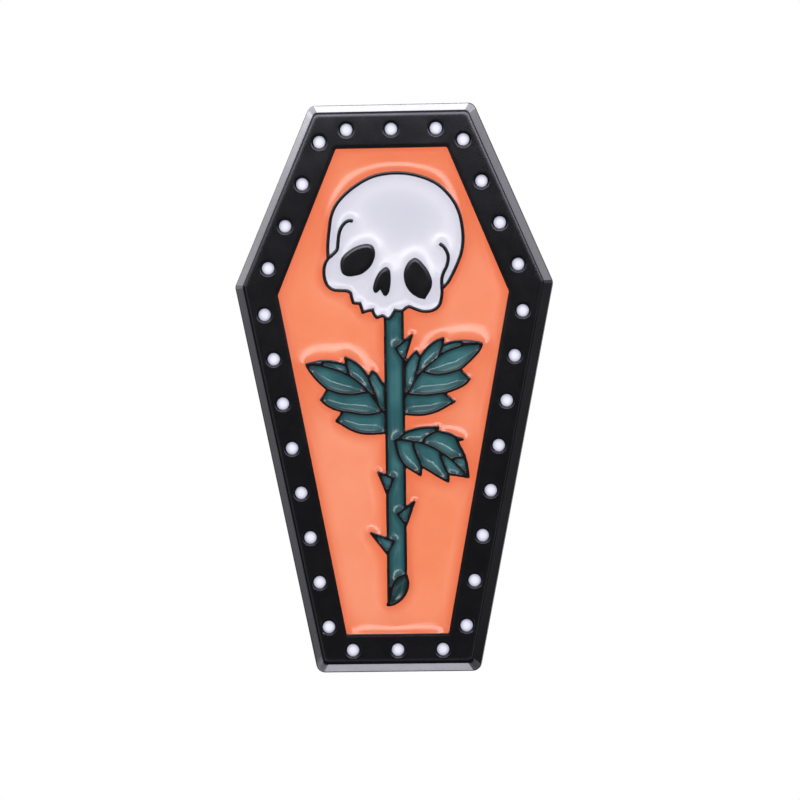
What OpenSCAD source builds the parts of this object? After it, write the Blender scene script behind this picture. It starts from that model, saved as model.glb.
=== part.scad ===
// Coffin-shaped soft-enamel pin: struck metal badge, coloured enamel in its cells,
// two soldered posts and two butterfly clutches.
// Stands upright as worn: front faces -Y, up is +Z, the origin is at the middle of the flat back.

/* [Badge] */
// thickness of the struck plate
plate_t = 1.6; // [1.4:0.1:2.2]
// depth of the cells below the raised metal
cell_depth = 0.5; // [0.3:0.05:0.7]
// how far the cured enamel sits below the raised metal
fill_drop = 0.15; // [0.05:0.05:0.2]
// width of the raised metal lines
line_w = 0.24; // [0.2:0.02:0.28]
// width of the sloped edge seen from the front
bevel_w = 0.55; // [0.3:0.05:0.7]
// depth of the sloped edge
bevel_h = 0.7; // [0.4:0.1:1]

/* [Studs] */
// radius of each white dot well in the border
stud_r = 0.5; // [0.4:0.05:0.55]

/* [Posts] */
// radius of the post
post_r = 0.5; // [0.46:0.01:0.52]
// length of the post behind the badge
post_len = 8; // [7.5:0.5:10]
// height of each post above or below the middle of the badge
post_z = 10; // [8.5:0.5:11]

/* [Clutches] */
// cloth thickness between the badge and the clutch
cloth_gap = 2.2; // [2.1:0.1:2.6]
// outer radius of the clutch's rolled rim
clutch_r = 5.75; // [5.4:0.05:6]
// radial play of the post in the clutch's hole
post_play = 0.12; // [0.08:0.02:0.2]

/* [Hidden] */

steps = 3;            // straight pieces in each span of a curve
cell_corner = 0.04;   // corner radius the die leaves inside a cell
fill_t = cell_depth - fill_drop;
seat_r = 1.25;        // shallow seat in the badge's back that takes a post's foot
seat_depth = 0.1;
foot_r = 1.15;        // solder fillet round the post's foot
foot_h = 0.6;
sheet = 0.35;         // metal thickness in the clutch
pivot_x = 2.65;       // wing hinge, out from the post
pivot_h = 3.3;        // wing hinge, up from the clutch's underside
pivot_r = 0.25;
pivot_play = 0.03;
jaw_h = 1.4;          // height of the gripping jaws
spring_h = 2.05;
spring_ring_r = 2.6;
spring_wire_r = 0.2;
casing_r = 4.2;
casing_h = 4.2;
METAL = [0.10, 0.10, 0.11];
ORANGE = [0.96, 0.50, 0.33];
WHITE = [0.87, 0.86, 0.92];
GREEN = [0.12, 0.33, 0.33];
NICKEL = [0.72, 0.71, 0.69];

// ---- curves ----
function pick(p, i) = p[max(0, min(len(p) - 1, i))];
function blend(a, b, c, d, t) =
  0.5 * (2 * b + (c - a) * t + (2 * a - 5 * b + 4 * c - d) * t * t + (3 * b - a - 3 * c + d) * t * t * t);
function curve(p) = concat(
  [for (i = [0 : len(p) - 2]) for (k = [0 : steps - 1])
    blend(pick(p, i - 1), p[i], p[i + 1], pick(p, i + 2), k / steps)],
  [p[len(p) - 1]]);
function loop(p) = let (n = len(p)) [for (i = [0 : n - 1]) for (k = [0 : steps - 1])
  blend(p[(i + n - 1) % n], p[i], p[(i + 1) % n], p[(i + 2) % n], k / steps)];
// the stretch of a curve between two of its control points
function part(p, a, b) = let (c = curve(p)) [for (i = [a * steps : b * steps]) c[i]];
function back(p) = [for (i = [len(p) - 1 : -1 : 0]) p[i]];
function side(c, i) = let (d = pick(c, i + 1) - pick(c, i - 1)) [-d[1], d[0]] / norm(d);
function ribbon(c, w) = concat(
  [for (i = [0 : len(c) - 1]) c[i] + side(c, i) * w / 2],
  [for (i = [len(c) - 1 : -1 : 0]) c[i] - side(c, i) * w / 2]);
function arc(cx, cy, r, a0, a1, n) = [for (i = [0 : n]) let (a = a0 + (a1 - a0) * i / n)
  [cx + r * cos(a), cy + r * sin(a)]];

// ---- coffin outline ----
function coffin(top_w, top_z, wide_w, wide_z, low_w, low_z) =
  [[-top_w, top_z], [top_w, top_z], [wide_w, wide_z], [low_w, low_z], [-low_w, low_z], [-wide_w, wide_z]];
FACE = coffin(5.15, 18.45, 10.1, 6.85, 4.97, -18.45);
OPENING = coffin(3.71, 15.95, 7.7, 6.25, 3.39, -16.42);
STUDS = concat(
  [for (x = [-3, 0, 3]) each [[x, 17.25], [x, -17.5]]],
  [for (s = [-1, 1]) for (i = [0 : 3]) [s * (4.82 + 1.18 * i), 16.46 - 2.8 * i]],
  [for (s = [-1, 1]) for (i = [0 : 7]) [s * (8.63 - 0.577 * i), 4.96 - 2.985 * i]]);

// ---- skull, drawn along the middle of its metal outline ----
CRANIUM = [[-4.33, 8.65], [-4.34, 9.5], [-4.23, 10.6], [-4.05, 11.6], [-3.55, 12.5], [-2.5, 13.43],
  [-1.2, 14.1], [0.3, 14.3], [1.7, 14.1], [3, 13.54], [3.95, 12.6], [4.5, 11.5], [4.72, 10.1],
  [4.62, 9], [4.25, 8], [3.73, 7], [3.28, 6.5]];
JAW = [[3.28, 6.5], [3.24, 5.95], [3.08, 5.4], [2.65, 5.06], [2.05, 4.99], [1.5, 5.15], [1.02, 5.32], [0.62, 5.07]];
NOTCH = [[0.62, 5.07], [0.36, 5.04], [0.12, 5.1]];
FRONT_TOOTH = [[0.12, 5.1], [-0.06, 4.8], [-0.22, 4.6], [-0.4, 4.54], [-0.56, 4.64], [-0.74, 4.74],
  [-0.92, 4.69], [-1.12, 4.63]];
SECOND_TOOTH = [[-1.12, 4.63], [-1.3, 4.86], [-1.4, 5.1]];
THIRD_TOOTH = [[-1.4, 5.14], [-1.7, 5.1], [-2.05, 5]];
BACK_TOOTH = [[-2.05, 5], [-2.14, 5.3], [-2.24, 5.6]];
GUM = [[-2.24, 5.6], [-2.45, 5.61], [-2.68, 5.65]];
CHEEK = [[-2.68, 5.65], [-2.79, 6], [-2.86, 6.3], [-3.08, 6.44], [-3.5, 6.48], [-4, 6.54], [-4.38, 6.82],
  [-4.58, 7.3], [-4.62, 7.85], [-4.53, 8.3], [-4.33, 8.65]];
SKULL = concat(curve(CRANIUM), curve(JAW), curve(NOTCH), curve(FRONT_TOOTH), curve(SECOND_TOOTH),
  curve(THIRD_TOOTH), curve(BACK_TOOTH), curve(GUM), curve(CHEEK));
LEFT_TEMPLE = [[-2.7, 11.13], [-2.88, 11.15], [-3.15, 11.03], [-3.42, 10.7], [-3.58, 10.25], [-3.66, 9.6],
  [-3.71, 9.25], [-3.93, 8.98], [-4.36, 8.62]];
RIGHT_TEMPLE = [[3.2, 9.47], [3.44, 9.26], [3.65, 8.9], [3.71, 8.5], [3.6, 8], [3.38, 7.55], [3.26, 7.1], [3.27, 6.45]];
LEFT_SOCKET = [[-1.32, 9.43], [-1.17, 9], [-1.25, 8.5], [-1.5, 8.03], [-2, 7.61], [-2.5, 7.45], [-3, 7.42],
  [-3.38, 7.62], [-3.52, 8.15], [-3.42, 8.67], [-3, 9.1], [-2.4, 9.44], [-1.75, 9.58]];
RIGHT_SOCKET = [[2.12, 5.8], [2.3, 6.08], [2.56, 6.55], [2.61, 7.05], [2.38, 7.7], [2, 8.22], [1.7, 8.5], [1.4, 8.57],
  [1, 8.27], [0.73, 7.65], [0.79, 6.9], [1.14, 6.29], [1.65, 5.92], [2.12, 5.8]];
NOSE = [[-0.87, 6.5], [-0.77, 6.32], [-0.64, 6.11], [-0.45, 6.08], [-0.25, 6.38], [-0.15, 7], [-0.16, 7.6], [-0.27, 7.9],
  [-0.5, 8], [-0.9, 7.72], [-1.2, 7.2], [-1.35, 6.6], [-1.24, 6.3], [-1.04, 6.32], [-0.87, 6.5]];

// ---- left leaf, line middles; each leaflet is closed from these shared lines ----
L_RIB = [[-5.85, 1.58], [-5, 1.52], [-4.5, 1.4], [-4, 1.24], [-3.5, 1.05], [-2.95, 0.75], [-2.5, 0.44],
  [-2, -0.01], [-1.7, -0.33], [-1.12, -1.13], [-0.8, -1.62]];
L_TOP = [[-5.85, 1.58], [-5, 1.75], [-4.5, 1.76], [-4, 1.7], [-3.5, 1.58], [-3.19, 1.48]];
L_UPPER_LEFT = [[-3.24, 1.98], [-3.19, 1.48], [-3.1, 1.15], [-2.95, 0.75]];
L_UPPER_RIGHT = [[-3.24, 1.98], [-2.9, 1.82], [-2.5, 1.57], [-2.18, 1.27], [-1.95, 0.97], [-1.73, 0.64]];
L_INNER_LEFT = [[-1.73, 0.64], [-1.62, 0.3], [-1.45, -0.1], [-1.3, -0.5], [-1.12, -1.13]];
L_INNER_RIGHT = [[-1.46, 1.05], [-1.28, 0.94], [-1.1, 0.7], [-0.88, 0.35], [-0.64, 0]];
L_LOW = [[-5.85, 1.58], [-5.65, 1.18], [-5.22, 0.62], [-4.74, 0.14], [-4.45, -0.1]];
L_VEIN_1 = [[-4.45, -0.1], [-4, -0.27], [-3.5, -0.4], [-3, -0.44], [-2.5, -0.42], [-2.1, -0.35], [-1.7, -0.33]];
L_MID_LOW = [[-4.9, -0.8], [-4.5, -1.16], [-4, -1.42], [-3.45, -1.59]];
L_VEIN_2 = [[-3.45, -1.59], [-3, -1.64], [-2.5, -1.74], [-2, -1.8], [-1.5, -1.78], [-1.15, -1.71], [-0.8, -1.62]];
L_BASE_LOW = [[-3.88, -2.23], [-3.5, -2.46], [-3, -2.76], [-2.5, -2.97], [-2, -3.07], [-1.4, -3.09], [-0.62, -3.04]];
function left_leaf() = [
  concat(back(part(L_RIB, 0, 8)), part(L_LOW, 1, 4), part(L_VEIN_1, 0, 5)),
  concat(part(L_TOP, 0, 5), part(L_UPPER_LEFT, 1, 2), back(part(L_RIB, 1, 5))),
  concat(part(L_VEIN_1, 0, 6), part(L_RIB, 9, 10), back(part(L_VEIN_2, 0, 5)), back(part(L_MID_LOW, 0, 2))),
  concat(part(L_VEIN_2, 0, 6), [[-0.62, -1.85]], back(part(L_BASE_LOW, 0, 6))),
  concat(part(L_UPPER_RIGHT, 0, 5), part(L_INNER_LEFT, 1, 4), back(part(L_RIB, 5, 8)), back(part(L_UPPER_LEFT, 1, 2))),
  concat([[-1.58, 0.86]], part(L_INNER_RIGHT, 0, 4), [[-0.64, -1.85]], [[-0.8, -1.62]], back(part(L_INNER_LEFT, 0, 4)))];

// ---- right leaf ----
R_RIB = [[5.85, 2.78], [5.5, 2.77], [5, 2.75], [4.5, 2.67], [4, 2.52], [3.5, 2.32], [3, 2.02], [2.5, 1.61],
  [2.1, 1.25], [1.84, 1.01], [1.42, 0.48], [0.82, -0.47]];
R_TOP = [[5.85, 2.78], [5.5, 2.88], [5, 2.95], [4.5, 2.97], [4, 2.93], [3.6, 2.83], [3.22, 2.68]];
R_UPPER_RIGHT = [[3.3, 3.17], [3.22, 2.68], [3.12, 2.4], [3, 2.02]];
R_UPPER_LEFT = [[3.3, 3.17], [3.1, 3.12], [2.79, 2.98], [2.5, 2.79], [2.19, 2.5], [1.95, 2.22], [1.75, 1.95]];
R_INNER_RIGHT = [[1.75, 1.95], [1.66, 1.65], [1.56, 1.25], [1.45, 0.9], [1.42, 0.48]];
R_INNER_LEFT = [[1.5, 2.33], [1.3, 2.17], [1, 1.82], [0.8, 1.5], [0.69, 1.2]];
R_LOW = [[5.85, 2.78], [5.74, 2.44], [5.5, 2.14], [5, 1.64], [4.6, 1.28], [4.38, 1.1]];
R_VEIN_1 = [[4.38, 1.1], [4, 0.99], [3.5, 0.86], [3, 0.8], [2.5, 0.84], [2.15, 0.94], [1.84, 1.01]];
R_MID_LOW = [[5, 0.45], [4.8, 0.2], [4.5, 0], [4, -0.22], [3.6, -0.36], [3.25, -0.46]];
R_VEIN_2 = [[3.25, -0.46], [3, -0.47], [2.5, -0.54], [2, -0.57], [1.5, -0.54], [1.1, -0.5], [0.82, -0.47]];
R_BASE_LOW = [[3.98, -1.03], [3.5, -1.3], [3, -1.57], [2.5, -1.75], [2, -1.86], [1.4, -1.88], [0.62, -1.8]];
function right_leaf() = [
  concat(part(R_RIB, 0, 9), back(part(R_VEIN_1, 0, 5)), back(part(R_LOW, 1, 4))),
  concat(part(R_TOP, 0, 6), part(R_UPPER_RIGHT, 2, 3), back(part(R_RIB, 1, 5))),
  concat(part(R_VEIN_1, 0, 6), part(R_RIB, 10, 11), back(part(R_VEIN_2, 0, 5)), back(part(R_MID_LOW, 0, 4))),
  concat(part(R_VEIN_2, 0, 6), [[0.62, -0.85]], back(part(R_BASE_LOW, 0, 6))),
  concat(back(part(R_UPPER_LEFT, 0, 6)), part(R_UPPER_RIGHT, 1, 3), part(R_RIB, 7, 9), back(part(R_INNER_RIGHT, 1, 4))),
  concat(part(R_INNER_LEFT, 0, 4), [[0.66, -0.85]], [[0.82, -0.47]], back(part(R_INNER_RIGHT, 0, 4)), [[1.6, 2.16]])];

// ---- lower right leaf, which laps over the stem ----
G_RIB = [[0, -3.57], [0.35, -3.53], [0.75, -3.57], [1.18, -3.66], [1.5, -3.7], [1.82, -3.77], [2.22, -3.93],
  [2.62, -4.12], [2.98, -4.37], [3.4, -4.65], [3.75, -4.9], [4.1, -5.25], [4.45, -5.63], [4.84, -6.07]];
G_TOP = [[0, -3.57], [0.32, -3.37], [0.58, -3.16], [0.85, -3], [1.15, -2.91], [1.5, -2.82], [2, -2.76], [2.45, -2.76],
  [2.85, -2.72]];
G_TOP_RIGHT = [[2.83, -3], [2.58, -3.07], [2.3, -3.22], [2, -3.43], [1.82, -3.77]];
G_UPPER_TOP = [[2.83, -3], [3.18, -3.09], [3.5, -3.16], [3.82, -3.3], [4.14, -3.46], [4.48, -3.57]];
G_RIGHT = [[4.12, -3.64], [4.27, -4], [4.41, -4.26], [4.53, -4.5], [4.62, -4.79], [4.71, -5.1], [4.78, -5.5],
  [4.84, -6.07]];
G_VEIN_1 = [[4.62, -4.79], [4.3, -4.76], [4, -4.79], [3.75, -4.9]];
G_VEIN_2 = [[2.98, -4.37], [3.03, -4.7], [3.13, -5], [3.3, -5.42], [3.5, -5.86]];
G_TIP_LOW = [[3.5, -5.86], [3.98, -5.92], [4.4, -5.99], [4.84, -6.07]];
G_VEIN_3 = [[1.18, -3.66], [1.23, -4], [1.4, -4.5], [1.62, -5], [1.72, -5.3]];
G_MID_LOW = [[1.72, -5.3], [2.1, -5.52], [2.5, -5.77], [3, -6.08], [3.49, -6.34]];
G_INNER_LEFT = [[0, -3.57], [0.08, -4], [0.21, -4.5], [0.45, -5], [0.72, -5.3], [1.1, -5.55], [1.65, -5.89]];
function low_leaf() = [
  concat(part(G_TOP, 0, 8), part(G_TOP_RIGHT, 0, 4), back(part(G_RIB, 1, 4))),
  concat(back(part(G_TOP_RIGHT, 0, 4)), part(G_UPPER_TOP, 1, 5), part(G_RIGHT, 0, 3), part(G_VEIN_1, 0, 3),
    back(part(G_RIB, 6, 9))),
  concat(part(G_RIGHT, 4, 7), back(part(G_RIB, 10, 12)), back(part(G_VEIN_1, 0, 2))),
  concat(part(G_RIB, 8, 13), back(part(G_TIP_LOW, 0, 2)), back(part(G_VEIN_2, 0, 3))),
  concat(part(G_RIB, 3, 8), part(G_VEIN_2, 1, 4), back(part(G_MID_LOW, 0, 4)), back(part(G_VEIN_3, 1, 3))),
  concat(part(G_RIB, 0, 3), part(G_VEIN_3, 1, 4), back(part(G_INNER_LEFT, 1, 6)))];

// ---- stem, its cut foot and the thorns ----
STEM_FOOT = [[0.59, -12.5], [0.7, -12.9], [0.72, -13.2], [0.64, -13.52], [0.47, -13.88], [0.22, -14.17],
  [-0.08, -14.38], [-0.38, -14.5], [-0.62, -14.52]];
CUT_EDGE = [[-0.62, -14.52], [-0.48, -14], [-0.37, -13.5], [-0.2, -13.1], [0, -12.8], [0.2, -12.65], [0.42, -12.58],
  [0.59, -12.5]];
STEM = concat([[-0.56, 5], [0.59, 5.3]], part(STEM_FOOT, 0, 8), [[-0.56, -14.3]]);
STEM_CUT = concat(part(STEM_FOOT, 0, 8), part(CUT_EDGE, 1, 6));
THORNS = [
  [[0.12, 2.6], [1.2, 3.42], [0.66, 1.72]],
  [[-1.13, -5.72], [-0.16, -6.08], [-0.57, -7.12]],
  [[0.1, -8.47], [1.2, -7.7], [0.65, -9.22]],
  [[-1.66, -9.75], [-0.17, -10.27], [-0.6, -11.12]]];

// ---- flat shapes, x to the right and z up ----
module cell(points) {
  offset(r = cell_corner, $fn = 12) offset(delta = -line_w / 2 - cell_corner) polygon(points);
}
module rounded(points, r) {
  offset(r = r, $fn = 32) offset(delta = -r) polygon(points);
}
module leaves_2d() {
  for (p = left_leaf()) polygon(p);
  for (p = right_leaf()) polygon(p);
  for (p = low_leaf()) polygon(p);
}
module field_2d() {
  offset(r = cell_corner, $fn = 12) offset(delta = -cell_corner) difference() {
    rounded(OPENING, 0.12);
    offset(r = line_w / 2, $fn = 12) {
      polygon(SKULL);
      polygon(STEM);
      leaves_2d();
      for (t = THORNS) polygon(t);
    }
  }
}
module skull_2d() {
  offset(r = cell_corner, $fn = 12) offset(delta = -cell_corner) difference() {
    offset(delta = -line_w / 2) polygon(SKULL);
    polygon(loop(LEFT_SOCKET));
    polygon(curve(RIGHT_SOCKET));
    polygon(curve(NOSE));
    offset(r = 0.07, $fn = 12) polygon(ribbon(curve(LEFT_TEMPLE), line_w - 0.14));
    offset(r = 0.07, $fn = 12) polygon(ribbon(curve(RIGHT_TEMPLE), line_w - 0.14));
  }
}
module stem_2d() {
  offset(r = cell_corner, $fn = 12) offset(delta = -cell_corner) difference() {
    offset(delta = 0.02 - line_w / 2) polygon(STEM);
    offset(r = line_w / 2, $fn = 12) {
      polygon(SKULL);
      leaves_2d();
      polygon(STEM_CUT);
      for (t = THORNS) polygon(t);
    }
  }
}
module studs_2d() {
  offset(delta = 0) for (s = STUDS) translate(s) circle(r = stud_r, $fn = 20);
}
module thorns_2d() {
  offset(delta = 0) for (t = THORNS) cell(t);
}
module cells_2d() {
  offset(delta = 0) {
    field_2d();
    skull_2d();
    stem_2d();
    cell(STEM_CUT);
    for (t = THORNS) cell(t);
    for (p = left_leaf()) cell(p);
    for (p = right_leaf()) cell(p);
    for (p = low_leaf()) cell(p);
    for (s = STUDS) translate(s) circle(r = stud_r, $fn = 20);
  }
}

// a flat shape stood upright, its back at depth y and its front t nearer the viewer
module upright(y, t) {
  translate([0, y, 0]) rotate([90, 0, 0]) linear_extrude(height = t) children();
}
module fill() {
  upright(cell_depth - plate_t, fill_t) children();
}

// ---- badge ----
module struck_plate() color(METAL) difference() {
  hull() {
    upright(0, plate_t - bevel_h) offset(r = bevel_w, $fn = 32) polygon(FACE);
    upright(0, plate_t) rounded(FACE, 0.15);
  }
  upright(cell_depth - plate_t, cell_depth + 1) cells_2d();
  for (z = [post_z, -post_z]) at_post(z, -seat_depth) cylinder(r = seat_r, h = 1, $fn = 96);
}
module field_enamel() color(ORANGE) fill() field_2d();
module skull_enamel() color(WHITE) fill() skull_2d();
module stud_enamel() color(WHITE) fill() studs_2d();
module stem_enamel() color(GREEN) fill() stem_2d();
module stem_cut_enamel() color(GREEN) fill() cell(STEM_CUT);
module thorn_enamel() color(GREEN) fill() thorns_2d();
module left_leaf_tip_enamel() color(GREEN) fill() cell(left_leaf()[0]);
module left_leaf_fold_enamel() color(GREEN) fill() cell(left_leaf()[1]);
module left_leaf_middle_enamel() color(GREEN) fill() cell(left_leaf()[2]);
module left_leaf_base_enamel() color(GREEN) fill() cell(left_leaf()[3]);
module left_leaf_upper_enamel() color(GREEN) fill() cell(left_leaf()[4]);
module left_leaf_inner_enamel() color(GREEN) fill() cell(left_leaf()[5]);
module right_leaf_tip_enamel() color(GREEN) fill() cell(right_leaf()[0]);
module right_leaf_fold_enamel() color(GREEN) fill() cell(right_leaf()[1]);
module right_leaf_middle_enamel() color(GREEN) fill() cell(right_leaf()[2]);
module right_leaf_base_enamel() color(GREEN) fill() cell(right_leaf()[3]);
module right_leaf_upper_enamel() color(GREEN) fill() cell(right_leaf()[4]);
module right_leaf_inner_enamel() color(GREEN) fill() cell(right_leaf()[5]);
module low_leaf_top_enamel() color(GREEN) fill() cell(low_leaf()[0]);
module low_leaf_upper_enamel() color(GREEN) fill() cell(low_leaf()[1]);
module low_leaf_side_enamel() color(GREEN) fill() cell(low_leaf()[2]);
module low_leaf_tip_enamel() color(GREEN) fill() cell(low_leaf()[3]);
module low_leaf_middle_enamel() color(GREEN) fill() cell(low_leaf()[4]);
module low_leaf_inner_enamel() color(GREEN) fill() cell(low_leaf()[5]);

// ---- posts: a ground point, a locking groove and a solder fillet at the foot ----
module at_post(z, y) {
  translate([0, y, z]) rotate([-90, 0, 0]) children();
}
module post() color(METAL) rotate_extrude($fn = 96) polygon([[0, -seat_depth], [post_r, -seat_depth],
  [post_r, post_len - 2.6],
  [post_r - 0.1, post_len - 2.5], [post_r - 0.1, post_len - 2.2], [post_r, post_len - 2.1],
  [post_r, post_len - 0.9], [0.12, post_len - 0.08], [0.06, post_len], [0, post_len]]);
module solder() color(METAL) rotate_extrude($fn = 96) polygon(concat(
  [[post_r, -seat_depth], [foot_r, -seat_depth], [foot_r, 0]],
  back(arc(foot_r, foot_h, foot_h - 0.04, 180, 270, 5)), [[post_r, foot_h]]));
module upper_post() at_post(post_z, 0) post();
module lower_post() at_post(-post_z, 0) post();
module upper_post_solder() at_post(post_z, 0) solder();
module lower_post_solder() at_post(-post_z, 0) solder();

// ---- butterfly clutch, drawn with its underside at z 0 and the post along z ----
// round base with a funnelled hole for the post and a rolled rim
module base() color(NICKEL) rotate_extrude($fn = 96) polygon(concat(
  [[post_r + post_play, 0.25], [post_r + post_play + 0.25, 0]],
  arc(clutch_r - 0.4, 0.4, 0.4, -90, 140, 12),
  [[clutch_r - 0.75, sheet], [post_r + post_play + 0.3, sheet], [post_r + post_play + 0.3, 0.6],
   [post_r + post_play, 0.6]]));
// drawn cup with two windows for the wings and pierced ears for their pivots
module housing() color(NICKEL) difference() {
  union() {
    difference() {
      rotate_extrude($fn = 96) polygon(concat(
        [[casing_r - sheet, sheet], [casing_r + 0.55, sheet], [casing_r + 0.55, 2 * sheet], [casing_r, 2 * sheet + 0.1]],
        arc(casing_r - 0.5, casing_h - 0.5, 0.5, 0, 90, 5),
        [[0.85, casing_h], [0.85, casing_h - sheet], [casing_r - sheet, casing_h - sheet]]));
      for (s = [-1, 1]) translate([s > 0 ? 1.4 : -5.4, -2.45, 2.5]) cube([4, 4.9, 3]);
    }
    for (s = [-1, 1]) for (t = [-1, 1])
      translate([s > 0 ? 2.2 : -3.1, t > 0 ? 2.45 : -2.85, 2.85]) cube([0.9, 0.4, casing_h - 2.95]);
  }
  for (s = [-1, 1]) translate([s * pivot_x, 5, pivot_h]) rotate([90, 0, 0])
    cylinder(r = pivot_r + pivot_play, h = 10, $fn = 48);
}
// open ring of spring wire round the necks of both wings
module jaw_spring() color(NICKEL) translate([0, 0, spring_h]) rotate([0, 0, 110])
  rotate_extrude(angle = 320, $fn = 96) translate([spring_ring_r, 0]) circle(r = spring_wire_r, $fn = 32);
// sheet lever: jaw, neck, pivot, finger tab
WING_BEND = [[0.1, jaw_h], [1.35, jaw_h], [1.78, 1.6], [2.2, 2.45], [pivot_x, pivot_h], [3.4, 4.1], [4.3, 4.72],
  [5.3, 5.08], [6.1, 5.14]];
module wing() color(NICKEL) {
  difference() {
    intersection() {
      rotate([90, 0, 0]) linear_extrude(height = 6, center = true)
        offset(r = 0.05, $fn = 12) polygon(ribbon(curve(WING_BEND), sheet - 0.1));
      linear_extrude(height = 8) offset(delta = 0) {
        translate([0, -0.75]) square([3, 1.5]);
        offset(r = 0.9, $fn = 32) translate([3.2, -1.3]) square([2, 2.6]);
        translate([2.35, -2.2]) square([1.2, 4.4]);
      }
    }
    translate([0, 0, jaw_h - 1]) cylinder(r = post_r + 0.03, h = 2, $fn = 64);
  }
  for (t = [-1, 1]) translate([pivot_x, t > 0 ? 2.8 : -2.1, pivot_h]) rotate([90, 0, 0])
    cylinder(r = pivot_r, h = 0.7, $fn = 48);
}
module on_clutch(z) {
  at_post(z, cloth_gap) children();
}
module upper_jaw_spring() on_clutch(post_z) jaw_spring();
module upper_clutch_base() on_clutch(post_z) base();
module upper_clutch_housing() on_clutch(post_z) housing();
module upper_left_wing() on_clutch(post_z) mirror([1, 0, 0]) wing();
module upper_right_wing() on_clutch(post_z) wing();
module lower_jaw_spring() on_clutch(-post_z) jaw_spring();
module lower_clutch_base() on_clutch(-post_z) base();
module lower_clutch_housing() on_clutch(-post_z) housing();
module lower_left_wing() on_clutch(-post_z) mirror([1, 0, 0]) wing();
module lower_right_wing() on_clutch(-post_z) wing();

struck_plate();
field_enamel();
skull_enamel();
stud_enamel();
stem_enamel();
stem_cut_enamel();
thorn_enamel();
left_leaf_tip_enamel();
left_leaf_fold_enamel();
left_leaf_middle_enamel();
left_leaf_base_enamel();
left_leaf_upper_enamel();
left_leaf_inner_enamel();
right_leaf_tip_enamel();
right_leaf_fold_enamel();
right_leaf_middle_enamel();
right_leaf_base_enamel();
right_leaf_upper_enamel();
right_leaf_inner_enamel();
low_leaf_top_enamel();
low_leaf_upper_enamel();
low_leaf_side_enamel();
low_leaf_tip_enamel();
low_leaf_middle_enamel();
low_leaf_inner_enamel();
upper_post();
lower_post();
upper_post_solder();
lower_post_solder();
upper_jaw_spring();
upper_clutch_base();
upper_clutch_housing();
upper_left_wing();
upper_right_wing();
lower_jaw_spring();
lower_clutch_base();
lower_clutch_housing();
lower_left_wing();
lower_right_wing();
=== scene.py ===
"""Coffin-shaped enamel pin: the looks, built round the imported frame.

Metres in Blender; outlines are in mm as (x, z), x to the right and z up seen from the front, which faces -Y.
The metal and the enamel are height fields over the frame's own outlines. The posts and clutches are lathed or
bent from a few dimensions.
"""
import math

import bmesh
import bpy
import numpy as np
from mathutils import Matrix, Vector
from mathutils.geometry import delaunay_2d_cdt
from mathutils.kdtree import KDTree


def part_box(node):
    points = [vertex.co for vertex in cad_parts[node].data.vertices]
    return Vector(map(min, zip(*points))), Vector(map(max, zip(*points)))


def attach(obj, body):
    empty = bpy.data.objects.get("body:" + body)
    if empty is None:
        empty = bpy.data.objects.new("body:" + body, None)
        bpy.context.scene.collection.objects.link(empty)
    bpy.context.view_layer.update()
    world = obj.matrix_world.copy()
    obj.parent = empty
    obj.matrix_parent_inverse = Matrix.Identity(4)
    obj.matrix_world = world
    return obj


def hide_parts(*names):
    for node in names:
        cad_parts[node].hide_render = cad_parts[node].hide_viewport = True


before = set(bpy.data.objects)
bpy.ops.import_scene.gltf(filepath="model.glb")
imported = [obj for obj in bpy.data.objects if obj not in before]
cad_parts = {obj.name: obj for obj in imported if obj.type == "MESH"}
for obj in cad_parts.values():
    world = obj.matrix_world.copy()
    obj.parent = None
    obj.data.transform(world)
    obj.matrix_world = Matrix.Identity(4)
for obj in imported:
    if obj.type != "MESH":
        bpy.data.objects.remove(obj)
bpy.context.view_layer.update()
MM = 0.001
ROUND = 2 * math.pi

# ---- dimensions, mm
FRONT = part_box("struck_plate")[0].y / MM  # top plane of the raised metal, y
CELL_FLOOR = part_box("field_enamel")[1].y / MM  # floor of the cells
CORNER_TURN = math.radians(25)  # a sharper turn than this stays a corner
OUTLINE_STEP = 0.07  # spacing of points along a smooth outline
STRAIGHT_FROM, STRAIGHT_STEP = 0.6, 0.25  # a chord longer than the first is a straight side, and its spacing
SAMPLE_STEP = 0.05  # spacing of the samples that distances are looked up by

# raised metal: how far the surface drops, going from the middle of a line out over the edge of a cell
ROLL_REACH = 0.024  # how far the rounded edge reaches into the metal
FLANK_SLOPE = 1.2  # slope at the cell's edge, where the flank starts
FLANK_CURVE = 3.0  # how fast the flank steepens
STEP_AT = 0.17  # a faint step runs this far inside the edges of wide metal
STEP_SLOPE = 0.12
STEP_REACH = (0.035, 0.06)
WELL_ACROSS, WELL_AREA = 1.0, (0.72, 0.82)  # tells a stud's well from the other cells
WELL_EDGE = 0.53  # radius of the well at the top
WELL_SLOPE = 0.62  # slope of its side
WELL_SOFT = 0.018  # how soft its rim is
WELL_REACH = 0.75  # only the well shapes the metal this close to its middle
# distances from a wall at which the meshes have rings of points, and the grid beyond the last one
METAL_RINGS = [0.015, 0.035, 0.06, 0.09, 0.12, 0.15, 0.18, 0.22, 0.28, 0.36]
FLANK_RINGS = [0.03, 0.06, 0.09, 0.12, 0.15, 0.18]
ENAMEL_RINGS = [0.05, 0.1, 0.16, 0.23, 0.31, 0.4, 0.5, 0.62, 0.76, 0.92, 1.1, 1.3]
ENAMEL_GRID = 0.3
BEDDED = 0.02  # how far the enamel reaches into the cells' floors


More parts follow.
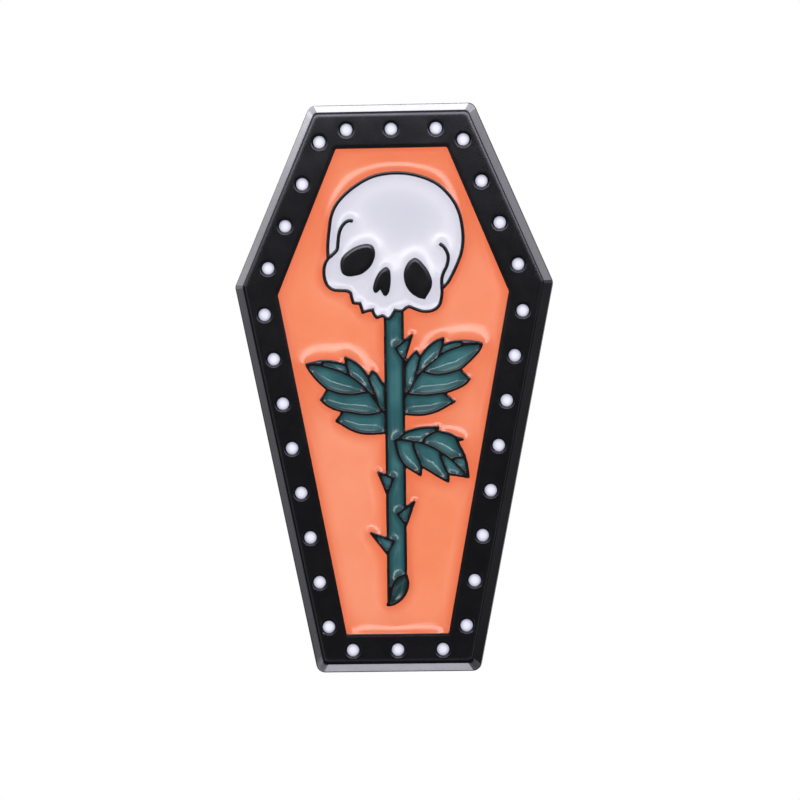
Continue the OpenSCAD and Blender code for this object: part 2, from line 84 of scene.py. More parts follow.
# ---- outlines
def front_loops(node, y):
    """The closed outlines of a CAD node's flat face at height y, as lists of (x, z) in mm."""
    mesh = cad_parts[node].data
    key, ids = {}, []
    for v in mesh.vertices:
        k = tuple(round(c / MM, 4) for c in v.co)
        ids.append(key.setdefault(k, len(key)))
    place = list(key)
    flat = [abs(p[1] - y) < 1e-3 for p in place]
    seen = {}
    for polygon in mesh.polygons:
        corners = [ids[i] for i in polygon.vertices]
        if all(flat[c] for c in corners) and len(set(corners)) == len(corners):
            for a, b in zip(corners, corners[1:] + corners[:1]):
                seen[(a, b)] = True
    following = {a: b for a, b in seen if (b, a) not in seen}
    loops = []
    while following:
        start = next(iter(following))
        loop, at = [], start
        while at in following:
            loop.append((place[at][0], place[at][2]))
            at = following.pop(at)
        loops.append(np.array(loop))
    return loops


def turned_area(loop):
    """Signed area, positive when the loop runs anticlockwise."""
    x, z = loop[:, 0], loop[:, 1]
    return 0.5 * float(np.sum(x * np.roll(z, -1) - np.roll(x, -1) * z))


def smooth_outline(loop):
    """The same outline as a smooth curve between its corners, evenly spaced."""
    count = len(loop)
    ahead = np.roll(loop, -1, 0) - loop
    length = np.linalg.norm(ahead, axis=1)
    heading = np.arctan2(ahead[:, 1], ahead[:, 0])
    turn = half_turn(heading - np.roll(heading, 1))
    corner = np.abs(turn) > CORNER_TURN
    points = []
    for i in range(count):
        a, b = loop[i], loop[(i + 1) % count]
        if length[i] > STRAIGHT_FROM:
            pieces = round(length[i] / STRAIGHT_STEP)
            points += [a + (b - a) * k / pieces for k in range(pieces)]
            continue
        before, after = loop[i - 1], loop[(i + 2) % count]
        ta = ahead[i] if corner[i] else blended(a - before, ahead[i])
        tb = ahead[i] if corner[(i + 1) % count] else blended(ahead[i], after - b)
        ta, tb = (t / np.linalg.norm(t) * length[i] for t in (ta, tb))
        pieces = max(1, round(length[i] / OUTLINE_STEP))
        for k in range(pieces):
            t = k / pieces
            points.append((2 * t**3 - 3 * t**2 + 1) * a + (t**3 - 2 * t**2 + t) * ta
                          + (3 * t**2 - 2 * t**3) * b + (t**3 - t**2) * tb)
    return np.array(points)


def half_turn(angle):
    """The same angle between -pi and pi."""
    return (angle + math.pi) % ROUND - math.pi


def blended(first, second):
    """A direction between two chords, closer to the shorter one."""
    a, b = np.linalg.norm(first), np.linalg.norm(second)
    return first / a * b + second / b * a


class Outlines:
    """Closed outlines that a point's distance is measured to."""

    def __init__(self, loops):
        self.loops = loops
        self.start = np.concatenate(loops)
        self.end = np.concatenate([np.roll(l, -1, 0) for l in loops])
        length = np.linalg.norm(self.end - self.start, axis=1)
        pieces = np.maximum(1, np.ceil(length / SAMPLE_STEP)).astype(int)
        self.owner = np.repeat(np.arange(len(pieces)), pieces)
        step = np.concatenate([(np.arange(n) + 0.5) / n for n in pieces])
        samples = self.start[self.owner] + (self.end - self.start)[self.owner] * step[:, None]
        self.tree = KDTree(len(samples))
        for i, (x, z) in enumerate(samples):
            self.tree.insert((x, z, 0), i)
        self.tree.balance()

    def distance(self, points):
        """The distance of each point to the nearest outline."""
        points = np.asarray(points, float)
        near = np.array([[i for _, i, _ in self.tree.find_n((x, z, 0), 3)] for x, z in points])
        best = np.full(len(points), 1e9)
        for column in near.T:
            a, b = self.start[self.owner[column]], self.end[self.owner[column]]
            along = b - a
            t = np.clip(np.sum((points - a) * along, axis=1) / (np.sum(along * along, axis=1) + 1e-18), 0, 1)
            best = np.minimum(best, np.linalg.norm(points - a - along * t[:, None], axis=1))
        return best

    def inside(self, points):
        """Whether each point is inside an odd number of the outlines."""
        points = np.asarray(points, float)
        order = np.argsort(points[:, 1])
        x, z = points[order, 0], points[order, 1]
        odd = np.zeros(len(points), bool)
        for (ax, az), (bx, bz) in zip(self.start, self.end):
            first, last = np.searchsorted(z, (min(az, bz), max(az, bz)))
            if last > first:
                odd[first:last] ^= x[first:last] < ax + (z[first:last] - az) / (bz - az) * (bx - ax)
        result = np.zeros(len(points), bool)
        result[order] = odd
        return result


def circle(radius, count, x=0.0, y=0.0, turns=(0, ROUND)):
    """Points evenly round a circle, anticlockwise unless the turns run backwards."""
    return [(x + radius * math.cos(a), y + radius * math.sin(a))
            for a in np.linspace(*turns, count, endpoint=False)]


def ring_points(loop, offset, outlines, tolerance):
    """Points an offset away from a loop, to its left if positive, that no other outline comes nearer to."""
    before = loop - np.roll(loop, 1, 0)
    after = np.roll(loop, -1, 0) - loop
    a0, a1 = np.arctan2(before[:, 1], before[:, 0]), np.arctan2(after[:, 1], after[:, 0])
    turn = half_turn(a1 - a0)
    found = []
    for p, start, by in zip(loop, a0, turn):
        opening = by * offset < 0
        fan = max(1, math.ceil(abs(by) / 0.4)) if opening else 1
        reach = offset if opening else offset / max(0.4, math.cos(by / 2))
        for k in range(fan):
            heading = start + by * (k + 0.5) / fan
            found.append((p[0] - math.sin(heading) * reach, p[1] + math.cos(heading) * reach))
    clear = np.abs(outlines.distance(found) - abs(offset)) < tolerance
    kept = []
    for q, ok in zip(found, clear):
        if ok and not (kept and math.dist(q, kept[-1]) < 0.45 * OUTLINE_STEP):
            kept.append(q)
    return kept


def rings_beside(loops, offsets, outlines, tolerance=0.006):
    return [p for loop in loops for offset in offsets for p in ring_points(loop, offset, outlines, tolerance)]


def triangulate(loops, loose):
    """Triangles over the loops and the loose points: (points, triangles, index of each loop's points)."""
    points = [Vector(p) for l in loops for p in l] + [Vector(p) for p in loose]
    edges, at = [], 0
    for l in loops:
        n = len(l)
        edges += [(at + i, at + (i + 1) % n) for i in range(n)]
        at += n
    verts, _, faces, orig, _, _ = delaunay_2d_cdt(points, edges, [], 1, 1e-5)
    found = {}
    for new, olds in enumerate(orig):
        for old in olds:
            found[old] = new
    kept, at = [], 0
    for l in loops:
        kept.append([found[at + i] for i in range(len(l))])
        at += len(l)
    return np.array([(v.x, v.y) for v in verts]), [list(f) for f in faces], kept


# ---- pieces
def placed(name, data):
    """A new object in the scene."""
    made = bpy.data.objects.new(name, data)
    bpy.context.scene.collection.objects.link(made)
    return made


def piece(name, points, faces, material, body, node, sharp):
    """A mesh from points in mm that rides on a body in a node's place; edges past an angle stay sharp."""
    mesh = bpy.data.meshes.new(name)
    mesh.from_pydata([tuple(c * MM for c in p) for p in points], [], faces)
    mesh.validate()
    mesh.update()
    mesh.materials.append(material)
    mesh.shade_smooth()
    mesh.set_sharp_from_angle(angle=math.radians(sharp))
    thing = placed(name, mesh)
    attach(thing, body)
    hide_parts(node)
    return thing


# ---- materials
class Nodes:
    """Short hand for building a node material."""

    def __init__(self, name):
        self.material = bpy.data.materials.new(name)
        self.material.use_nodes = True
        self.tree = self.material.node_tree
        self.shader = self.tree.nodes["Principled BSDF"]
        self.place = self.add("ShaderNodeTexCoord").outputs["Object"]

    def add(self, kind, **settings):
        node = self.tree.nodes.new(kind)
        for key, value in settings.items():
            setattr(node, key, value)
        return node

    def give(self, socket, value):
        """Links an input to an output, or sets it to a number or a colour."""
        if isinstance(value, bpy.types.NodeSocket):
            self.tree.links.new(value, socket)
        else:
            socket.default_value = (*value, 1.0) if isinstance(value, tuple) else value

    def fill(self, node, **values):
        for name, value in values.items():
            self.give(node.inputs[name.replace("_", " ")], value)

    def set(self, **values):
        self.fill(self.shader, **values)

    def noise(self, scale, detail=4.0, rough=0.55):
        node = self.add("ShaderNodeTexNoise")
        self.fill(node, Scale=scale, Detail=detail, Roughness=rough, Vector=self.place)
        return node.outputs["Fac"]

    def spread(self, source, low, high, from_low=0.3, from_high=0.7):
        node = self.add("ShaderNodeMapRange")
        self.fill(node, From_Min=from_low, From_Max=from_high, To_Min=low, To_Max=high, Value=source)
        return node.outputs["Result"]

    def mix(self, factor, a, b):
        """Colour a where the factor is 0 and b where it is 1."""
        node = self.add("ShaderNodeMix", data_type="RGBA")
        for place, value in ((0, factor), (6, a), (7, b)):
            self.give(node.inputs[place], value)
        return node.outputs[2]

    def bump(self, height, distance, strength, onto=None):
        node = self.add("ShaderNodeBump")
        self.fill(node, Strength=strength, Distance=distance, Height=height)
        if onto is not None:
            self.fill(node, Normal=onto)
        return node.outputs["Normal"]


def enamel(name, colour, speck_and_wall_shade, mottle_and_sheen, roughness=0.14, cloud_scale=110.0, middle=None, shade=(0.3, 1.0)):
    """Glossy soft enamel, in broad faint clouds: partly the mottle of cured paint, partly a painted sheen of
    lighter patches standing in for broad soft reflections.

    It has painted shade where it climbs a wall, darker over a part of the climb, and can be another tone far
    from any. Its dark specks take the same colour as that shade.
    """
    n = Nodes(name)
    wall = n.add("ShaderNodeAttribute", attribute_name="climb").outputs["Fac"]
    # lighter clouds: partly the paint's mottle, partly painted sheen standing in for broad soft reflections
    mottle_and_sheen_clouds = n.spread(n.noise(cloud_scale, 2.0, 0.45), 0.0, 0.85, 0.40, 0.66)
    specks = n.spread(n.noise(700.0, 3.0), 0.0, 0.12)
    body = n.mix(specks, n.mix(mottle_and_sheen_clouds, colour, mottle_and_sheen), speck_and_wall_shade)
    if middle:
        body = n.mix(n.spread(wall, 1.0, 0.0, 0.0, MIDDLE_ENDS), body, middle)
    # painted shade: the second colour mixed in where the enamel climbs the walls
    n.set(Base_Color=n.mix(n.spread(wall, 0.0, 1.0, *shade), body, speck_and_wall_shade))
    n.set(Roughness=n.spread(n.noise(900.0, 2.0), roughness * 0.8, roughness * 1.25))
    n.set(Normal=n.bump(n.noise(420.0, 2.0), 0.00002, 0.25))
    n.set(IOR=1.5, Specular_IOR_Level=0.5)
    return n.material


def plated(name, colour, worn, roughness, grain=0.0):
    """Plated metal: faint rubbing marks and pits, a little brighter where it is rubbed."""
    n = Nodes(name)
    patches = n.spread(n.noise(350.0, 5.0, 0.6), 0.0, 1.0, 0.45, 0.75)
    n.set(Base_Color=n.mix(patches, colour, worn), Metallic=1.0)
    n.set(Roughness=n.spread(n.noise(900.0, 4.0, 0.6), roughness * 0.93, roughness * 1.1))
    normal = n.bump(n.noise(2200.0, 3.0), 0.000006, 0.2)
    if grain:
        normal = n.bump(n.noise(3800.0, 6.0, 0.7), grain, 0.6, onto=normal)
    n.set(Normal=normal)
    return n.material


MIDDLE_ENDS = 0.22  # share of the climb at which the middle's own shade has gone
BLACK_NICKEL = plated("black_nickel", (0.043, 0.042, 0.049), (0.052, 0.051, 0.059), 0.165)
BLACK_GRAINED = plated("black_nickel_blasted", (0.075, 0.075, 0.082), (0.11, 0.11, 0.118), 0.42,
                       grain=0.00003)
# each enamel's second colour is its painted shade along the walls, also the colour of its dark specks
# each enamel's third colour is the lighter one of its clouds, partly mottle and partly painted sheen
ORANGE = enamel("orange_enamel", (0.79, 0.222, 0.107), (0.69, 0.14, 0.057), (0.82, 0.285, 0.168))
WHITE = enamel("white_enamel", (0.65, 0.64, 0.72), (0.54, 0.53, 0.62), (0.67, 0.66, 0.73), 0.17,
               middle=(0.565, 0.555, 0.64))
# the studs' painted shade is strong and bluish and starts low on the climb, darkening the dots' rims
STUD_WHITE = enamel("stud_enamel", (0.78, 0.77, 0.86), (0.27, 0.27, 0.40), (0.80, 0.79, 0.87), 0.22,
                    shade=(0.05, 0.6))
GREEN = enamel("green_enamel", (0.022, 0.095, 0.108), (0.010, 0.043, 0.050), (0.046, 0.160, 0.175), 0.12,
               cloud_scale=420.0)
DARK_GREEN = enamel("dark_green_enamel", (0.010, 0.04, 0.042), (0.004, 0.014, 0.015),
                    (0.012, 0.05, 0.052), 0.1)
NICKEL = plated("bright_nickel", (0.62, 0.60, 0.56), (0.70, 0.68, 0.64), 0.18)
STEEL = plated("spring_steel", (0.5, 0.5, 0.5), (0.6, 0.6, 0.6), 0.25)
POST_PLATING = plated("post_plating", (0.16, 0.16, 0.17), (0.22, 0.22, 0.23), 0.22)
SOLDER = plated("solder", (0.2, 0.2, 0.21), (0.3, 0.3, 0.31), 0.4, grain=0.00002)


# ---- struck metal, front
def left_of_interior(loop):
    """The loop run so that its inside is on the left."""
    return loop if turned_area(loop) > 0 else loop[::-1]


plate_loops = sorted(front_loops("struck_plate", FRONT), key=lambda l: -abs(turned_area(l)))
face_outline = left_of_interior(plate_loops[0])


def straight_sides(loop):
    """The coffin's six long sides as (point, direction), in order."""
    ahead = np.roll(loop, -1, 0) - loop
    length = np.linalg.norm(ahead, axis=1)
    return [(loop[i], ahead[i] / length[i]) for i in sorted(np.argsort(-length)[:6])]


def wedge(a, b):
    return a[0] * b[1] - a[1] * b[0]


def crossing(first, second):
    """Where two lines meet, each given as (point, direction)."""
    (p, d), (q, e) = first, second
    return p + d * (wedge(q - p, e) / wedge(d, e))


CORNER_POINTS = 9
sides = straight_sides(face_outline)
corners = [crossing(sides[i - 1], sides[i]) for i in range(6)]


def coffin_ring(outset, radius, spacing=0.35):
    """The coffin outline moved outwards, with round corners; every ring has the same number of points."""
    ring = []
    for i in range(6):
        here, side_in, side_out = corners[i], sides[i - 1][1], sides[i][1]
        a0, a1 = math.atan2(side_in[1], side_in[0]), math.atan2(side_out[1], side_out[0])
        turn = half_turn(a1 - a0)
        n0, n1 = np.array([side_in[1], -side_in[0]]), np.array([side_out[1], -side_out[0]])
        apex = here + (n0 + n1) / (1 + n0 @ n1) * (outset - radius)
        a = a0 - math.pi / 2 + turn * np.linspace(0, 1, CORNER_POINTS)
        ring.append(list(apex + radius * np.stack([np.cos(a), np.sin(a)], 1)))
    points = []
    for i in range(6):
        points += ring[i]
        reach = np.linalg.norm(corners[(i + 1) % 6] - corners[i])
        pieces = round(reach / spacing)
        start, end = ring[i][-1], ring[(i + 1) % 6][0]
        points += [start + (end - start) * k / pieces for k in range(1, pieces)]
    return np.array(points)


def is_well(loop):
    """Whether a cell is one of the round wells that hold the border's studs."""
    round_enough = np.all(np.abs(np.ptp(loop, axis=0) - WELL_ACROSS) < 0.04)
    return round_enough and WELL_AREA[0] < abs(turned_area(loop)) < WELL_AREA[1]


CELLS = Outlines([smooth_outline(left_of_interior(l)) for l in plate_loops[1:]])
WELLS = np.array([l.mean(0) for l in plate_loops[1:] if is_well(l)])

# the face's outer edge, over its shoulder onto the slope: (distance in from the CAD edge, tilt in degrees)
SHOULDER = [(0.40, 0), (0.32, 1.5), (0.25, 3), (0.19, 5), (0.14, 8), (0.11, 9.5), (0.08, 12), (0.05, 16),
            (0.025, 22), (0.01, 38), (0.0, 52)]
BEVEL_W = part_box("struck_plate")[1].x / MM - max(abs(c[0]) for c in corners)
FOOT_ROUND = 0.35  # where the slope turns into the upright side
BACK_ROUND = 0.1
CORNER_R = (0.3, 0.6)  # radius of the outline's corners, on the face and at the outside
POST_Z = (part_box("upper_post")[0].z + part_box("upper_post")[1].z) / 2 / MM
SEAT_R = 1.25  # the shallow seats in the back that the posts are soldered into
SEAT_DEPTH = -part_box("upper_post")[0].y / MM
BACK_MARGIN, MARGIN_R = 0.55, 0.3  # the smooth margin round the blasted middle of the back
inner_face = coffin_ring(-SHOULDER[0][0], CORNER_R[0])


def well_drop(away):
    """How far the metal has sunk at a distance from the middle of a stud's well: a soft-edged cone."""
    return WELL_SLOPE * WELL_SOFT * math.log1p(math.exp((WELL_EDGE - away) / WELL_SOFT))


def metal_drop(inward):
    """How far below the top plane the metal lies, at a distance into the metal (negative: into a cell)."""
    out = max(0.0, -inward)
    near, far = (STEP_SLOPE * reach * math.sqrt(math.pi) / 2 for reach in STEP_REACH)
    past = max(0.0, inward) - STEP_AT
    fade = far * math.erf(past / STEP_REACH[1]) if past > 0 else near * math.erf(past / STEP_REACH[0])
    roll = FLANK_SLOPE * ROLL_REACH * math.exp(-max(0.0, inward) / ROLL_REACH)
    return min(CELL_FLOOR - FRONT, far - fade + roll + FLANK_SLOPE * out + FLANK_CURVE * out * out)


def build_plate():
    """The plate's points and faces, with the numbers of its back's smooth and blasted faces."""
    loose = []
    for loop in CELLS.loops:
        inner = 1 if CELLS.inside(rings_beside([loop], FLANK_RINGS[:1], CELLS)[:1])[0] else -1
        offsets = [-inner * ring for ring in METAL_RINGS] + [inner * ring for ring in FLANK_RINGS]
        loose += rings_beside([loop], offsets, CELLS)
    border = Outlines([inner_face])
    fits = border.inside(loose) & (border.distance(loose) > 0.05)
    loose = [p for p, ok in zip(loose, fits) if ok]
    points, faces, kept = triangulate([inner_face, *CELLS.loops], loose)
    within = CELLS.inside(points)
    inward = np.where(within, -1, 1) * CELLS.distance(points)
    inward[[i for loop in kept[1:] for i in loop]] = 0.0
    to_stud = np.min(np.linalg.norm(points[:, None] - WELLS[None], axis=2), axis=1)
    rows = [(x, FRONT + (well_drop(away) if away < WELL_REACH else metal_drop(d)), z)
            for (x, z), d, away in zip(points, inward, to_stud)]
    faces = [f if turned(points, f) > 0 else f[::-1] for f in faces]
    rings = edge_profile()
    last = kept[0]
    for outset, radius, y in rings:
        now = list(range(len(rows), len(rows) + len(last)))
        rows += [(x, y, z) for x, z in coffin_ring(outset, radius)]
        faces += band(last, now)
        last = now
    return rows, faces, *build_back(rows, faces, last, rings[-1])


def band(one, two):
    """Faces between two rings of points, given by their numbers."""
    return [[b, a, c, d] for a, b, c, d in zip(one, one[1:] + one[:1], two, two[1:] + two[:1])]


def middles_of(points, faces):
    return np.array([points[f].mean(0) for f in faces])


def turned(points, face):
    """Positive when a flat face runs anticlockwise."""
    (ax, az), (bx, bz), (cx, cz) = (points[i] for i in face[:3])
    return (bx - ax) * (cz - az) - (bz - az) * (cx - ax)


def edge_profile():
    """Rings from the face's edge over the slope, down the side and round to the back: (outset, radius, y)."""
    rings = []
    drop = 0.0
    for (inset, tilt), (next_inset, next_tilt) in zip(SHOULDER, SHOULDER[1:]):
        drop += (inset - next_inset) * math.tan(math.radians((tilt + next_tilt) / 2))
        rings.append((-next_inset, FRONT + drop))
    slope = math.radians(SHOULDER[-1][1])
    foot = BEVEL_W - FOOT_ROUND * (1 - math.sin(slope))
    rings += [(foot * k / 4, FRONT + drop + foot * k / 4 * math.tan(slope)) for k in range(1, 5)]
    start = rings[-1][1]
    rings += [(BEVEL_W - FOOT_ROUND * (1 - math.sin(t)), start + FOOT_ROUND * (math.cos(slope) - math.cos(t)))
              for t in np.linspace(slope, math.pi / 2, 7)[1:]]
    for k in range(1, 4):
        rings.append((BEVEL_W, rings[-1][1] + (-BACK_ROUND - rings[-1][1]) * k / 3))
    rings += [(BEVEL_W - BACK_ROUND * (1 - math.cos(a)), -BACK_ROUND * (1 - math.sin(a)))
              for a in np.linspace(0, math.pi / 2, 5)[1:]]
    low, high = CORNER_R
    reach = BEVEL_W + SHOULDER[0][0]
    return [(outset, low + (high - low) * (outset + SHOULDER[0][0]) / reach, y) for outset, y in rings]


def build_back(rows, faces, rim, ring):
    """Adds the flat back with its two shallow seats: (numbers of its smooth faces, of its blasted ones)."""
    outline = coffin_ring(ring[0], ring[1])
    seats = [np.array(circle(SEAT_R, 96, 0, z)) for z in (POST_Z, -POST_Z)]
    margin = coffin_ring(ring[0] - BACK_MARGIN, MARGIN_R, spacing=0.5)
    blasted = Outlines([margin])
    flat_faces, rough_faces = [], []
    points, tris, kept = triangulate([outline, margin, *seats], [])
    names = dict(zip(kept[0], rim))
    for i, (x, z) in enumerate(points):
        if i not in names:
            names[i] = len(rows)
            rows.append((x, 0.0, z))
    middles = middles_of(points, tris)
    for f, middle, rough in zip(tris, middles, blasted.inside(middles)):
        if any(math.hypot(middle[0], middle[1] - z) < SEAT_R - 0.01 for z in (POST_Z, -POST_Z)):
            continue
        f = f if turned(points, f) < 0 else f[::-1]
        (rough_faces if rough else flat_faces).append(len(faces))
        faces.append([names[i] for i in f])
    for loop in kept[2:]:
        floor = list(range(len(rows), len(rows) + len(loop)))
        rows += [(points[i][0], -SEAT_DEPTH, points[i][1]) for i in loop]
        faces += band(floor, [names[i] for i in loop])
        flat_faces.append(len(faces))
        faces.append(floor[::-1])
    return flat_faces, rough_faces


rows, faces, flat_faces, rough_faces = build_plate()
plate = piece("badge_plate", rows, faces, BLACK_NICKEL, "badge", "struck_plate", sharp=35)
plate.data.materials.append(BLACK_GRAINED)
for i in flat_faces + rough_faces:
    plate.data.polygons[i].use_smooth = False
for i in rough_faces:
    plate.data.polygons[i].material_index = 1


# ---- enamel
def fill_surface(points, faces, edge, reach):
    """Height of a liquid skin that clings to its walls: 1 at the walls, dying away over a reach, in mm.

    Solves reach^2 * laplacian(h) = h on the triangles, by conjugate gradients, then evens out the points.
    """
    tri = np.array(faces)
    p = points[tri]
    area = np.zeros(len(points))
    first, second, weight = [], [], []
    doubled = np.abs((p[:, 1, 0] - p[:, 0, 0]) * (p[:, 2, 1] - p[:, 0, 1])
                     - (p[:, 1, 1] - p[:, 0, 1]) * (p[:, 2, 0] - p[:, 0, 0])) + 1e-12
    for k in range(3):
        a, b = p[:, (k + 1) % 3] - p[:, k], p[:, (k + 2) % 3] - p[:, k]
        cot = np.sum(a * b, axis=1) / doubled
        first.append(tri[:, (k + 1) % 3])
        second.append(tri[:, (k + 2) % 3])
        weight.append(0.5 * np.clip(cot, -5, 5))
        np.add.at(area, tri[:, k], doubled / 6)
    here, there = np.concatenate(first + second), np.concatenate(second + first)
    weight = np.concatenate(weight + weight) * reach * reach
    count = len(points)
    diagonal = area + np.bincount(here, weight, count)
    free = np.ones(count, bool)
    free[list(edge)] = False

    def apply(h):
        return diagonal * h - np.bincount(here, weight * h[there], count)

    h = np.where(free, 0.0, 1.0)
    r = np.where(free, -apply(h), 0.0)
    inverse = 1 / np.maximum(diagonal, 1e-9)
    s = inverse * r
    d = s.copy()
    rs = float(r @ s)
    for _ in range(600):
        if rs < 1e-14:
            break
        ad = np.where(free, apply(d), 0.0)
        step = rs / float(d @ ad)
        h += step * d
        r -= step * ad
        s = inverse * r
        new = float(r @ s)
        d = np.where(free, s + new / rs * d, 0.0)
        rs = new
    # evens out the odd point among sliver triangles, sideways as well as up
    neighbours = np.maximum(np.bincount(here, minlength=count), 1)
    for _ in range(4):
        for values in (h, points[:, 0], points[:, 1]):
            level = np.bincount(here, values[there], count) / neighbours
            values[free] = 0.5 * values[free] + 0.5 * level[free]
    return h


def kept_faces(points, faces, outlines):
    """The faces inside the outlines, run anticlockwise."""
    inside = [f for f, ok in zip(faces, outlines.inside(middles_of(points, faces))) if ok]
    return [f if turned(points, f) > 0 else f[::-1] for f in inside]


def fill_cells(node, material, climb, reach, rim_drop=0.014, lap=0.03):
    """A node's enamel: each closed cell is a slab whose front clings to the walls and dips between them."""
    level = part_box(node)[0].y / MM
    loops = oriented([smooth_outline(l) for l in front_loops(node, level)])
    outlines = Outlines(loops)
    loose = rings_beside(loops, ENAMEL_RINGS, outlines, tolerance=0.012)
    points, faces, kept = triangulate(loops, loose + far_grid(loops, outlines))
    faces = kept_faces(points, faces, outlines)
    edge = {i for loop in kept for i in loop}
    h = fill_surface(points, faces, edge, reach)
    for loop, at in zip(loops, kept):
        points[at] = lapped(loop, lap)
    used = sorted({i for f in faces for i in f})
    renumber = {old: new for new, old in enumerate(used)}
    rows = [(points[i][0], FRONT + rim_drop + climb * (1 - h[i]), points[i][1]) for i in used]
    low = h[used].min()
    climbs = [(h[i] - low) / (1 - low) for i in used]
    faces = [[renumber[i] for i in f] for f in faces]
    back = {}
    for loop in kept:
        for i in loop:
            back[i] = len(rows)
            rows.append((points[i][0], CELL_FLOOR + BEDDED, points[i][1]))
            climbs.append(1.0)
        faces += band([renumber[i] for i in loop], [back[i] for i in loop])
    flat, tris, flat_kept = triangulate(loops, [])
    names = {i: back[j] for lf, lk in zip(flat_kept, kept) for i, j in zip(lf, lk)}
    faces += [[names[i] for i in reversed(f)] for f in kept_faces(flat, tris, outlines)]
    made = piece(node.replace("_enamel", "_fill"), rows, faces, material, "badge", node, sharp=50)
    # the climb drives the enamel's painted shade along the walls
    stored = made.data.attributes.new("climb", "FLOAT", "POINT")
    stored.data.foreach_set("value", np.array(climbs, np.float32))


def lapped(loop, lap):
    """An outline let out over the metal's rounded edge by a lap."""
    ahead = np.roll(loop, -1, 0) - np.roll(loop, 1, 0)
    ahead /= np.linalg.norm(ahead, axis=1)[:, None]
    return loop + lap * np.stack([ahead[:, 1], -ahead[:, 0]], axis=1)


def oriented(loops):
    """Each loop run so that the enamel is on its left: outlines anticlockwise, islands clockwise."""
    outlines = [Outlines([loop]) for loop in loops]
    found = []
    for loop, own in zip(loops, outlines):
        depth = sum(bool(other.inside(loop[:1])[0]) for other in outlines if other is not own)
        found.append(loop if (turned_area(loop) > 0) == (depth % 2 == 0) else loop[::-1])
    return found


def far_grid(loops, outlines):
    """A hexagonal grid of points well away from every wall."""
    low, high = np.min([l.min(0) for l in loops], 0), np.max([l.max(0) for l in loops], 0)
    grid = [(x, z) for r, z in enumerate(np.arange(low[1], high[1], ENAMEL_GRID * 0.866))
            for x in np.arange(low[0] + (r % 2) * ENAMEL_GRID / 2, high[0], ENAMEL_GRID)]
    clear = outlines.inside(grid) & (outlines.distance(grid) > ENAMEL_RINGS[-1] + ENAMEL_GRID * 0.6)
    return [p for p, ok in zip(grid, clear) if ok]


fill_cells("field_enamel", ORANGE, climb=0.27, reach=0.8, rim_drop=0.024, lap=0.025)
fill_cells("skull_enamel", WHITE, climb=0.2, reach=0.55, rim_drop=0.035, lap=0.02)
fill_cells("stud_enamel", STUD_WHITE, climb=0.05, reach=0.25, rim_drop=0.066, lap=0)
fill_cells("stem_enamel", GREEN, climb=0.6, reach=0.55)
fill_cells("stem_cut_enamel", DARK_GREEN, climb=0.45, reach=0.6)
for leaf_node in sorted(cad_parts):
    if "leaf" in leaf_node or leaf_node == "thorn_enamel":
        fill_cells(leaf_node, GREEN, climb=0.65, reach=0.55)

# ---- lathed, bent and pressed metal
def fillet(path, closed=True, fine=0.25):
    """A path of (a, b, radius) with each corner rounded to its radius, as (a, b) points."""
    found = []
    for i, (a, b, radius) in enumerate(path):
        if not radius or (not closed and i in (0, len(path) - 1)):
            found.append((a, b))
            continue
        here = Vector((a, b))
        back, on = Vector(path[i - 1][:2]) - here, Vector(path[(i + 1) % len(path)][:2]) - here
        room = 0.49 * min(back.length, on.length)
        back.normalize()
        on.normalize()
        half = math.acos(max(-1.0, min(1.0, back.dot(on)))) / 2
        reach = min(radius / math.tan(half), room)
        bend = reach * math.tan(half)
        middle = here + (back + on).normalized() * (bend / math.sin(half))
        start, end = here + back * reach - middle, here + on * reach - middle
        a0 = math.atan2(start.y, start.x)
        turn = half_turn(math.atan2(end.y, end.x) - a0)
        pieces = max(2, math.ceil(abs(turn) / fine))
        for k in range(pieces + 1):
            at = a0 + turn * k / pieces
            found.append((middle.x + bend * math.cos(at), middle.y + bend * math.sin(at)))
    return found


def arc_of(a, b, radius, start, end, pieces):
    """Points (a, b, 0) round an arc, angles in degrees."""
    return [(a + radius * math.cos(t), b + radius * math.sin(t), 0)
            for t in np.radians(np.linspace(start, end, pieces + 1))]


def lathe(profile, count=96, wobble=None):
    """A profile of (radius, height) turned about the height axis. Points on the axis become poles."""
    rows, rings = [], []
    for radius, height in profile:
        if radius < 1e-6:
            rings.append([len(rows)] * count)
            rows.append((0.0, 0.0, height))
            continue
        rings.append(list(range(len(rows), len(rows) + count)))
        for k in range(count):
            a = ROUND * k / count
            r = radius * (wobble(a, radius, height) if wobble else 1)
            rows.append((r * math.cos(a), r * math.sin(a), height))
    on_axis = profile[0][0] < 1e-6
    faces = []
    for one, two in zip(rings, rings[1:] if on_axis else rings[1:] + rings[:1]):
        for k in range(count):
            face = [one[k], one[(k + 1) % count], two[(k + 1) % count], two[k]]
            faces.append([v for n, v in enumerate(face) if v not in face[:n]])
    return rows, faces


def resampled(path, spacing, closed=True):
    """A path with points a spacing apart at most."""
    path = np.array(path, float)
    points = []
    for a, b in zip(path, np.roll(path, -1, 0) if closed else path[1:]):
        pieces = max(1, math.ceil(np.linalg.norm(b - a) / spacing))
        points += [a + (b - a) * k / pieces for k in range(pieces)]
    return np.array(points if closed else [*points, path[-1]])


class Bend:
    """The middle of a bent sheet seen edge-on, measured along its length."""

    def __init__(self, path):
        self.path = resampled(path, SAMPLE_STEP, closed=False)
        ahead = np.diff(self.path, axis=0)
        length = np.linalg.norm(ahead, axis=1)
        self.along = np.concatenate([[0], np.cumsum(length)])
        run = ahead / length[:, None]
        run = np.concatenate([run[:1], run[:-1] + run[1:], run[-1:]])
        self.left = np.stack([-run[:, 1], run[:, 0]], 1) / np.linalg.norm(run, axis=1)[:, None]

    def at(self, reach, height):
        """The point a reach along the sheet and a height off its middle."""
        a, b = (np.interp(reach, self.along, self.path[:, k]) for k in (0, 1))
        n = np.stack([np.interp(reach, self.along, self.left[:, k]) for k in (0, 1)])
        n /= np.linalg.norm(n, axis=0)
        return a + n[0] * height, b + n[1] * height

    def reach(self, a):
        """How far along the sheet its first coordinate gets to a."""
        return float(np.interp(a, self.path[:, 0], self.along))


